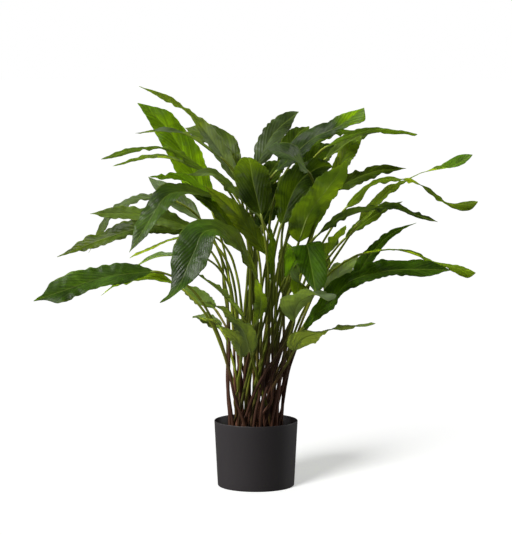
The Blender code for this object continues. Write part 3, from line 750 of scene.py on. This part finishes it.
def stalk_material():
    n = Nodes("leaf_stalk")
    place = n.place()
    height = n.add("SeparateXYZ", {0: place}).outputs[2]
    grain = n.add("SeparateXYZ", {0: n.add("UVMap", uv_map="grain").outputs[0]})
    drawn_out = n.add("CombineXYZ", {k: n.times(grain.outputs[k], STALK_GRAIN[k]) for k in (0, 1)})
    streak = n.noise(STALK_GRAIN_SCALE, drawn_out.outputs[0], detail=3.0)
    blotch = n.noise(BLOTCH_SCALE, place, detail=3.0)
    change = n.plus(height, n.times(n.attribute("green"), GREEN_LOWERED))
    change = n.plus(change, n.times(n.minus(blotch, 0.5), BLOTCHED))
    brown = n.mix(streak, BROWN_DARK, BROWN_LIGHT)
    green = n.mix(streak, GREEN_DARK, GREEN_LIGHT)
    skin = n.mix(n.ramp(change, *TURNS_GREEN), brown, green)
    # Stalks are darkened with their leaf's tone: partly older stalks, partly painted shade deep in the
    # plant.
    skin = n.mix(1.0, skin, n.grey(n.between(STALK_SHADE, n.attribute("tone"))), blend="MULTIPLY")
    rib = n.ramp(grain.outputs[1], -RIB_BLEND, RIB_BLEND)
    skin = n.mix(n.times(rib, RIB_BELOW_SHARE), skin, RIB_BELOW)
    n.put(skin, n.shader.inputs["Base Color"])
    n.put(n.between(STALK_ROUGHNESS, blotch), n.shader.inputs["Roughness"])
    n.put(STALK_SHINE, n.shader.inputs["Specular IOR Level"])
    n.put(n.bump(streak, STALK_GRAIN_DEPTH, strength=0.5), n.shader.inputs["Normal"])
    return n.material


# Pot and soil
CHARCOAL_DARK, CHARCOAL_LIGHT = colour(0.019, 0.016, 0.018), colour(0.027, 0.023, 0.025)
CHARCOAL_CLOUD_SCALE = 9.0
GRIT_SCALE, GRIT_DEPTH = 1400.0, 0.06 * MM
POT_ROUGHNESS = (0.42, 0.16)
EARTH_DARK, EARTH_LIGHT = colour(0.012, 0.008, 0.005), colour(0.050, 0.030, 0.018)
EARTH_CLOUD_SCALE = 40.0
CRUMB_SCALE, CRUMB_DEPTH, CRUMB_STRENGTH = 160.0, 1.5 * MM, 0.9
EARTH_ROUGHNESS = 0.95


def pot_material():
    n = Nodes("charcoal_plastic")
    place = n.place()
    cloud = n.noise(CHARCOAL_CLOUD_SCALE, place, detail=3.0)
    grit = n.noise(GRIT_SCALE, place, detail=2.0)
    n.put(n.mix(cloud, CHARCOAL_DARK, CHARCOAL_LIGHT), n.shader.inputs["Base Color"])
    n.put(n.between(POT_ROUGHNESS, grit), n.shader.inputs["Roughness"])
    n.put(n.bump(grit, GRIT_DEPTH, strength=0.5), n.shader.inputs["Normal"])
    return n.material


def soil_material():
    n = Nodes("potting_soil")
    place = n.place()
    crumbs = n.noise(CRUMB_SCALE, place, detail=5.0)
    cloud = n.noise(EARTH_CLOUD_SCALE, place, detail=3.0)
    n.put(n.mix(cloud, EARTH_DARK, EARTH_LIGHT), n.shader.inputs["Base Color"])
    n.put(EARTH_ROUGHNESS, n.shader.inputs["Roughness"])
    n.put(n.bump(crumbs, CRUMB_DEPTH, CRUMB_STRENGTH), n.shader.inputs["Normal"])
    return n.material


# ---------------------------------------------------------------- pot and soil

POT_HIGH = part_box("pot")[1]
SOIL_LOW, SOIL_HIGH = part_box("potting_soil")
# The CAD pot is as wide as its base where the chamfer round its foot ends.
CAD_CHAMFER = 1.5 * MM
RING_REACH = 0.6 * MM
SHARP_ANGLE = math.radians(50)

POT_STEPS = 128
POT_FLOOR = 4 * MM
POT_FOOT = 2.5 * MM
POT_FOOT_ARCS = 6
POT_WALL_ROWS = 11
POT_LIP = 1.2 * MM
POT_LIP_ARCS = 8
POT_FLOOR_CORNER = 2 * MM

SOIL_STEPS = 160
SOIL_RINGS = 46
SOIL_SIDE_ROWS = 8
SOIL_GAP = 0.3 * MM
LUMP_HEIGHT = 2.2 * MM
LUMP_SCALE = 70
LUMP_FALL_OFF, LUMP_STEP, LUMP_OCTAVES = 1.0, 2.0, 4
SLUMP_DEPTH = 2.5 * MM
SLUMP_FROM = 0.88
SETTLED = 0.8 * MM


def ring_radii(node, height):
    """Radii of a CAD solid's points near a height."""
    points = np.array([vert.co[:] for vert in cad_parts[node].data.vertices])
    near = points[np.abs(points[:, 2] - height) < RING_REACH]
    return np.linalg.norm(near[:, :2], axis=1)


def turned(name, profile, steps, material):
    """A piece turned round the Z axis from a profile that starts and ends on the axis."""
    shape = bmesh.new()
    loops = []
    for radius, height in profile:
        if radius == 0:
            loops.append([shape.verts.new((0, 0, height))])
            continue
        angles = [2 * math.pi * k / steps for k in range(steps)]
        loops.append([shape.verts.new((radius * math.cos(a), radius * math.sin(a), height)) for a in angles])
    for low, high in zip(loops, loops[1:]):
        for k in range(steps):
            j = (k + 1) % steps
            corners = [low[k % len(low)], low[j % len(low)], high[j % len(high)], high[k % len(high)]]
            shape.faces.new(list(dict.fromkeys(corners)))
    bmesh.ops.recalc_face_normals(shape, faces=shape.faces)
    mesh = bpy.data.meshes.new(name)
    shape.to_mesh(mesh)
    shape.free()
    mesh.materials.append(material)
    mesh.shade_smooth()
    mesh.set_sharp_from_angle(angle=SHARP_ANGLE)
    piece = bpy.data.objects.new(name, mesh)
    bpy.context.scene.collection.objects.link(piece)
    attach(piece, "root")
    return piece


def make_pot(material):
    """The pot with a rounded foot and lip."""
    top = POT_HIGH.z
    rim = POT_HIGH.x
    base = ring_radii("pot", CAD_CHAMFER).max()
    wall = rim - ring_radii("pot", top).min()
    slope = (rim - base) / top
    profile = [(0, 0), (base - POT_FOOT, 0)]
    for k in range(1, POT_FOOT_ARCS + 1):
        a = k * math.pi / (POT_FOOT_ARCS * 2)
        profile.append((base - POT_FOOT + POT_FOOT * math.sin(a), POT_FOOT - POT_FOOT * math.cos(a)))
    for k in range(1, POT_WALL_ROWS + 1):
        height = POT_FOOT + (top - POT_LIP - POT_FOOT) * k / POT_WALL_ROWS
        profile.append((base + slope * height, height))
    lip = wall / 2
    for k in range(1, POT_LIP_ARCS):
        a = k * math.pi / POT_LIP_ARCS
        profile.append((rim - lip + lip * math.cos(a), top - POT_LIP + POT_LIP * math.sin(a)))
    corner = POT_FLOOR + POT_FLOOR_CORNER
    profile += [
        (rim - wall, top - POT_LIP),
        (base + slope * corner - wall, corner),
        (base - wall - POT_FLOOR_CORNER, POT_FLOOR),
        (0, POT_FLOOR),
    ]
    pot = turned("plastic_pot", profile, POT_STEPS, material)
    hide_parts("pot")
    return pot


def make_soil(material):
    """Earth with a lumpy top that slumps towards the pot's wall."""
    top = SOIL_HIGH.z
    outer = SOIL_HIGH.x - SOIL_GAP
    low = SOIL_LOW.z
    base = ring_radii("potting_soil", low).max() - SOIL_GAP
    profile = [(0, top)]
    for k in range(1, SOIL_RINGS + 1):
        profile.append((outer * k / SOIL_RINGS, top))
    for k in range(1, SOIL_SIDE_ROWS + 1):
        share = k / SOIL_SIDE_ROWS
        profile.append((outer + (base - outer) * share, top + (low - top) * share))
    profile.append((0, low))
    soil = turned("earth", profile, SOIL_STEPS, material)
    for vert in soil.data.vertices:
        if vert.co.z < top - RING_REACH:
            continue
        radius = math.hypot(vert.co.x, vert.co.y)
        lumps = noise.fractal(vert.co * LUMP_SCALE, LUMP_FALL_OFF, LUMP_STEP, LUMP_OCTAVES) * LUMP_HEIGHT
        slump = max(radius / outer - SLUMP_FROM, 0) / (1 - SLUMP_FROM)
        vert.co.z += lumps * (1 - slump * 0.5) - slump * SLUMP_DEPTH - SETTLED
    soil.data.update()
    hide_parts("potting_soil")


# ---------------------------------------------------------------- studio

WHITE = colour(1.0, 1.0, 1.0)
# The camera looks a little down on the plant, from far off.
CAMERA_PLACE = (0, -4.5, 0.885)
CAMERA_DOWN_DEGREES = 5.57
SENSOR_WIDTH = 36
LENS = 150.3
SKY_STRENGTH = 0.15
FLOOR_REACH = 60
# The floor throws less light back at the plant than the camera sees on it.
FLOOR_FOR_PLANT, FLOOR_FOR_CAMERA = colour(0.25, 0.25, 0.25), colour(0.95, 0.95, 0.95)
FLOOR_GLOW_FOR_PLANT, FLOOR_GLOW_FOR_CAMERA = colour(0, 0, 0), colour(0.46, 0.46, 0.46)
FLOOR_ROUGHNESS = 0.9
# The direction that a light comes from, how many degrees wide it looks, its strength and its tint
FLOOR_LIGHT = ((-0.5, -0.85, 0.25), 22, 6.0, (1.0, 1.0, 1.0))
KEY_LIGHT = ((-1.1, -0.9, 1.3), 8, 3.3, (1.0, 0.99, 0.97))
TOP_LIGHT = ((-0.3, 1.2, 2.2), 20, 5.0, (1.0, 1.0, 0.98))
LEFT_LIGHT = ((-1.0, 0.1, 0.35), 35, 1.0, (1.0, 0.98, 1.0))
RIGHT_LIGHT = ((1.0, 0.35, 0.3), 25, 0.8, (1.0, 1.0, 1.0))


def make_camera():
    camera = bpy.data.objects.new("camera", bpy.data.cameras.new("camera"))
    bpy.context.scene.collection.objects.link(camera)
    camera.location = CAMERA_PLACE
    camera.rotation_euler = (math.radians(90 - CAMERA_DOWN_DEGREES), 0, 0)
    camera.data.sensor_width = SENSOR_WIDTH
    camera.data.lens = LENS
    camera.data.dof.use_dof = False
    bpy.context.scene.camera = camera


def make_sky():
    """A sky that lights the plant faintly and that the camera sees as plain white."""
    world = bpy.data.worlds.new("studio")
    bpy.context.scene.world = world
    world.use_nodes = True
    tree = world.node_tree
    sky = tree.nodes["Background"]
    sky.inputs["Color"].default_value = WHITE
    sky.inputs["Strength"].default_value = SKY_STRENGTH
    seen = tree.nodes.new("ShaderNodeBackground")
    seen.inputs["Color"].default_value = WHITE
    path = tree.nodes.new("ShaderNodeLightPath")
    mix = tree.nodes.new("ShaderNodeMixShader")
    tree.links.new(path.outputs["Is Camera Ray"], mix.inputs[0])
    tree.links.new(sky.outputs[0], mix.inputs[1])
    tree.links.new(seen.outputs[0], mix.inputs[2])
    tree.links.new(mix.outputs[0], tree.nodes["World Output"].inputs["Surface"])


def soft_light(name, source, spread, strength, tint, shine=True):
    """A light from far away in the source's direction, as wide as a big softbox."""
    lamp = bpy.data.lights.new(name, "SUN")
    lamp.angle = math.radians(spread)
    lamp.energy = strength
    lamp.color = tint
    light = bpy.data.objects.new(name, lamp)
    light.rotation_euler = (-Vector(source)).to_track_quat("-Z", "Y").to_euler()
    light.visible_glossy = shine
    bpy.context.scene.collection.objects.link(light)
    return light


def make_floor():
    mesh = bpy.data.meshes.new("floor")
    reach = FLOOR_REACH
    corners = [(-reach, -reach, 0), (reach, -reach, 0), (reach, reach, 0), (-reach, reach, 0)]
    mesh.from_pydata(corners, [], [(0, 1, 2, 3)])
    n = Nodes("pale_floor")
    path = n.add("LightPath").outputs["Is Camera Ray"]
    n.put(n.mix(path, FLOOR_FOR_PLANT, FLOOR_FOR_CAMERA), n.shader.inputs["Base Color"])
    n.put(FLOOR_ROUGHNESS, n.shader.inputs["Roughness"])
    n.put(n.mix(path, FLOOR_GLOW_FOR_PLANT, FLOOR_GLOW_FOR_CAMERA), n.shader.inputs["Emission Color"])
    n.put(1.0, n.shader.inputs["Emission Strength"])
    mesh.materials.append(n.material)
    floor = bpy.data.objects.new("floor", mesh)
    bpy.context.scene.collection.objects.link(floor)
    return floor


def collection_of(name, piece):
    collection = bpy.data.collections.new(name)
    collection.objects.link(piece)
    return collection


def make_studio(pot):
    """Camera, sky, lights and floor. Only the pot throws a shadow on the floor."""
    bpy.context.scene.view_settings.view_transform = "Standard"
    make_camera()
    make_sky()
    floor_light = soft_light("floor_light", *FLOOR_LIGHT)
    plant_lights = (
        soft_light("key", *KEY_LIGHT),
        soft_light("top", *TOP_LIGHT, shine=False),
        soft_light("left", *LEFT_LIGHT),
        soft_light("right", *RIGHT_LIGHT),
    )
    floor = make_floor()

    # The plant's lights leave the floor out, and the floor's own light draws the pot's shadow on it.
    all_but_floor = collection_of("all_but_floor", floor)
    all_but_floor.collection_objects[0].light_linking.link_state = "EXCLUDE"
    for light in plant_lights:
        light.light_linking.receiver_collection = all_but_floor
    floor_light.light_linking.receiver_collection = collection_of("floor_only", floor)
    floor_light.light_linking.blocker_collection = collection_of("pot_only", pot)


# ---------------------------------------------------------------- the whole plant

# Name, roughness and shine of the blades' three finishes
FINISHES = {
    "dull": ("leaf_blade", 0.42, 0.12),
    "satin": ("leaf_blade_satin", 0.42, 0.40),
    "glossy": ("leaf_blade_glossy", 0.40, 0.65),
}


def finish_of(number):
    if number in GLOSSY_LEAVES:
        return "glossy"
    return "satin" if listed(WAX_AND_SHEEN, number, None) else "dull"


def main():
    pot = make_pot(pot_material())
    make_studio(pot)
    make_soil(soil_material())
    blades = {finish: blade_material(*values) for finish, values in FINISHES.items()}
    stalk = stalk_material()
    for number in leaf_numbers():
        make_leaf(number, blades[finish_of(number)], stalk)


main()
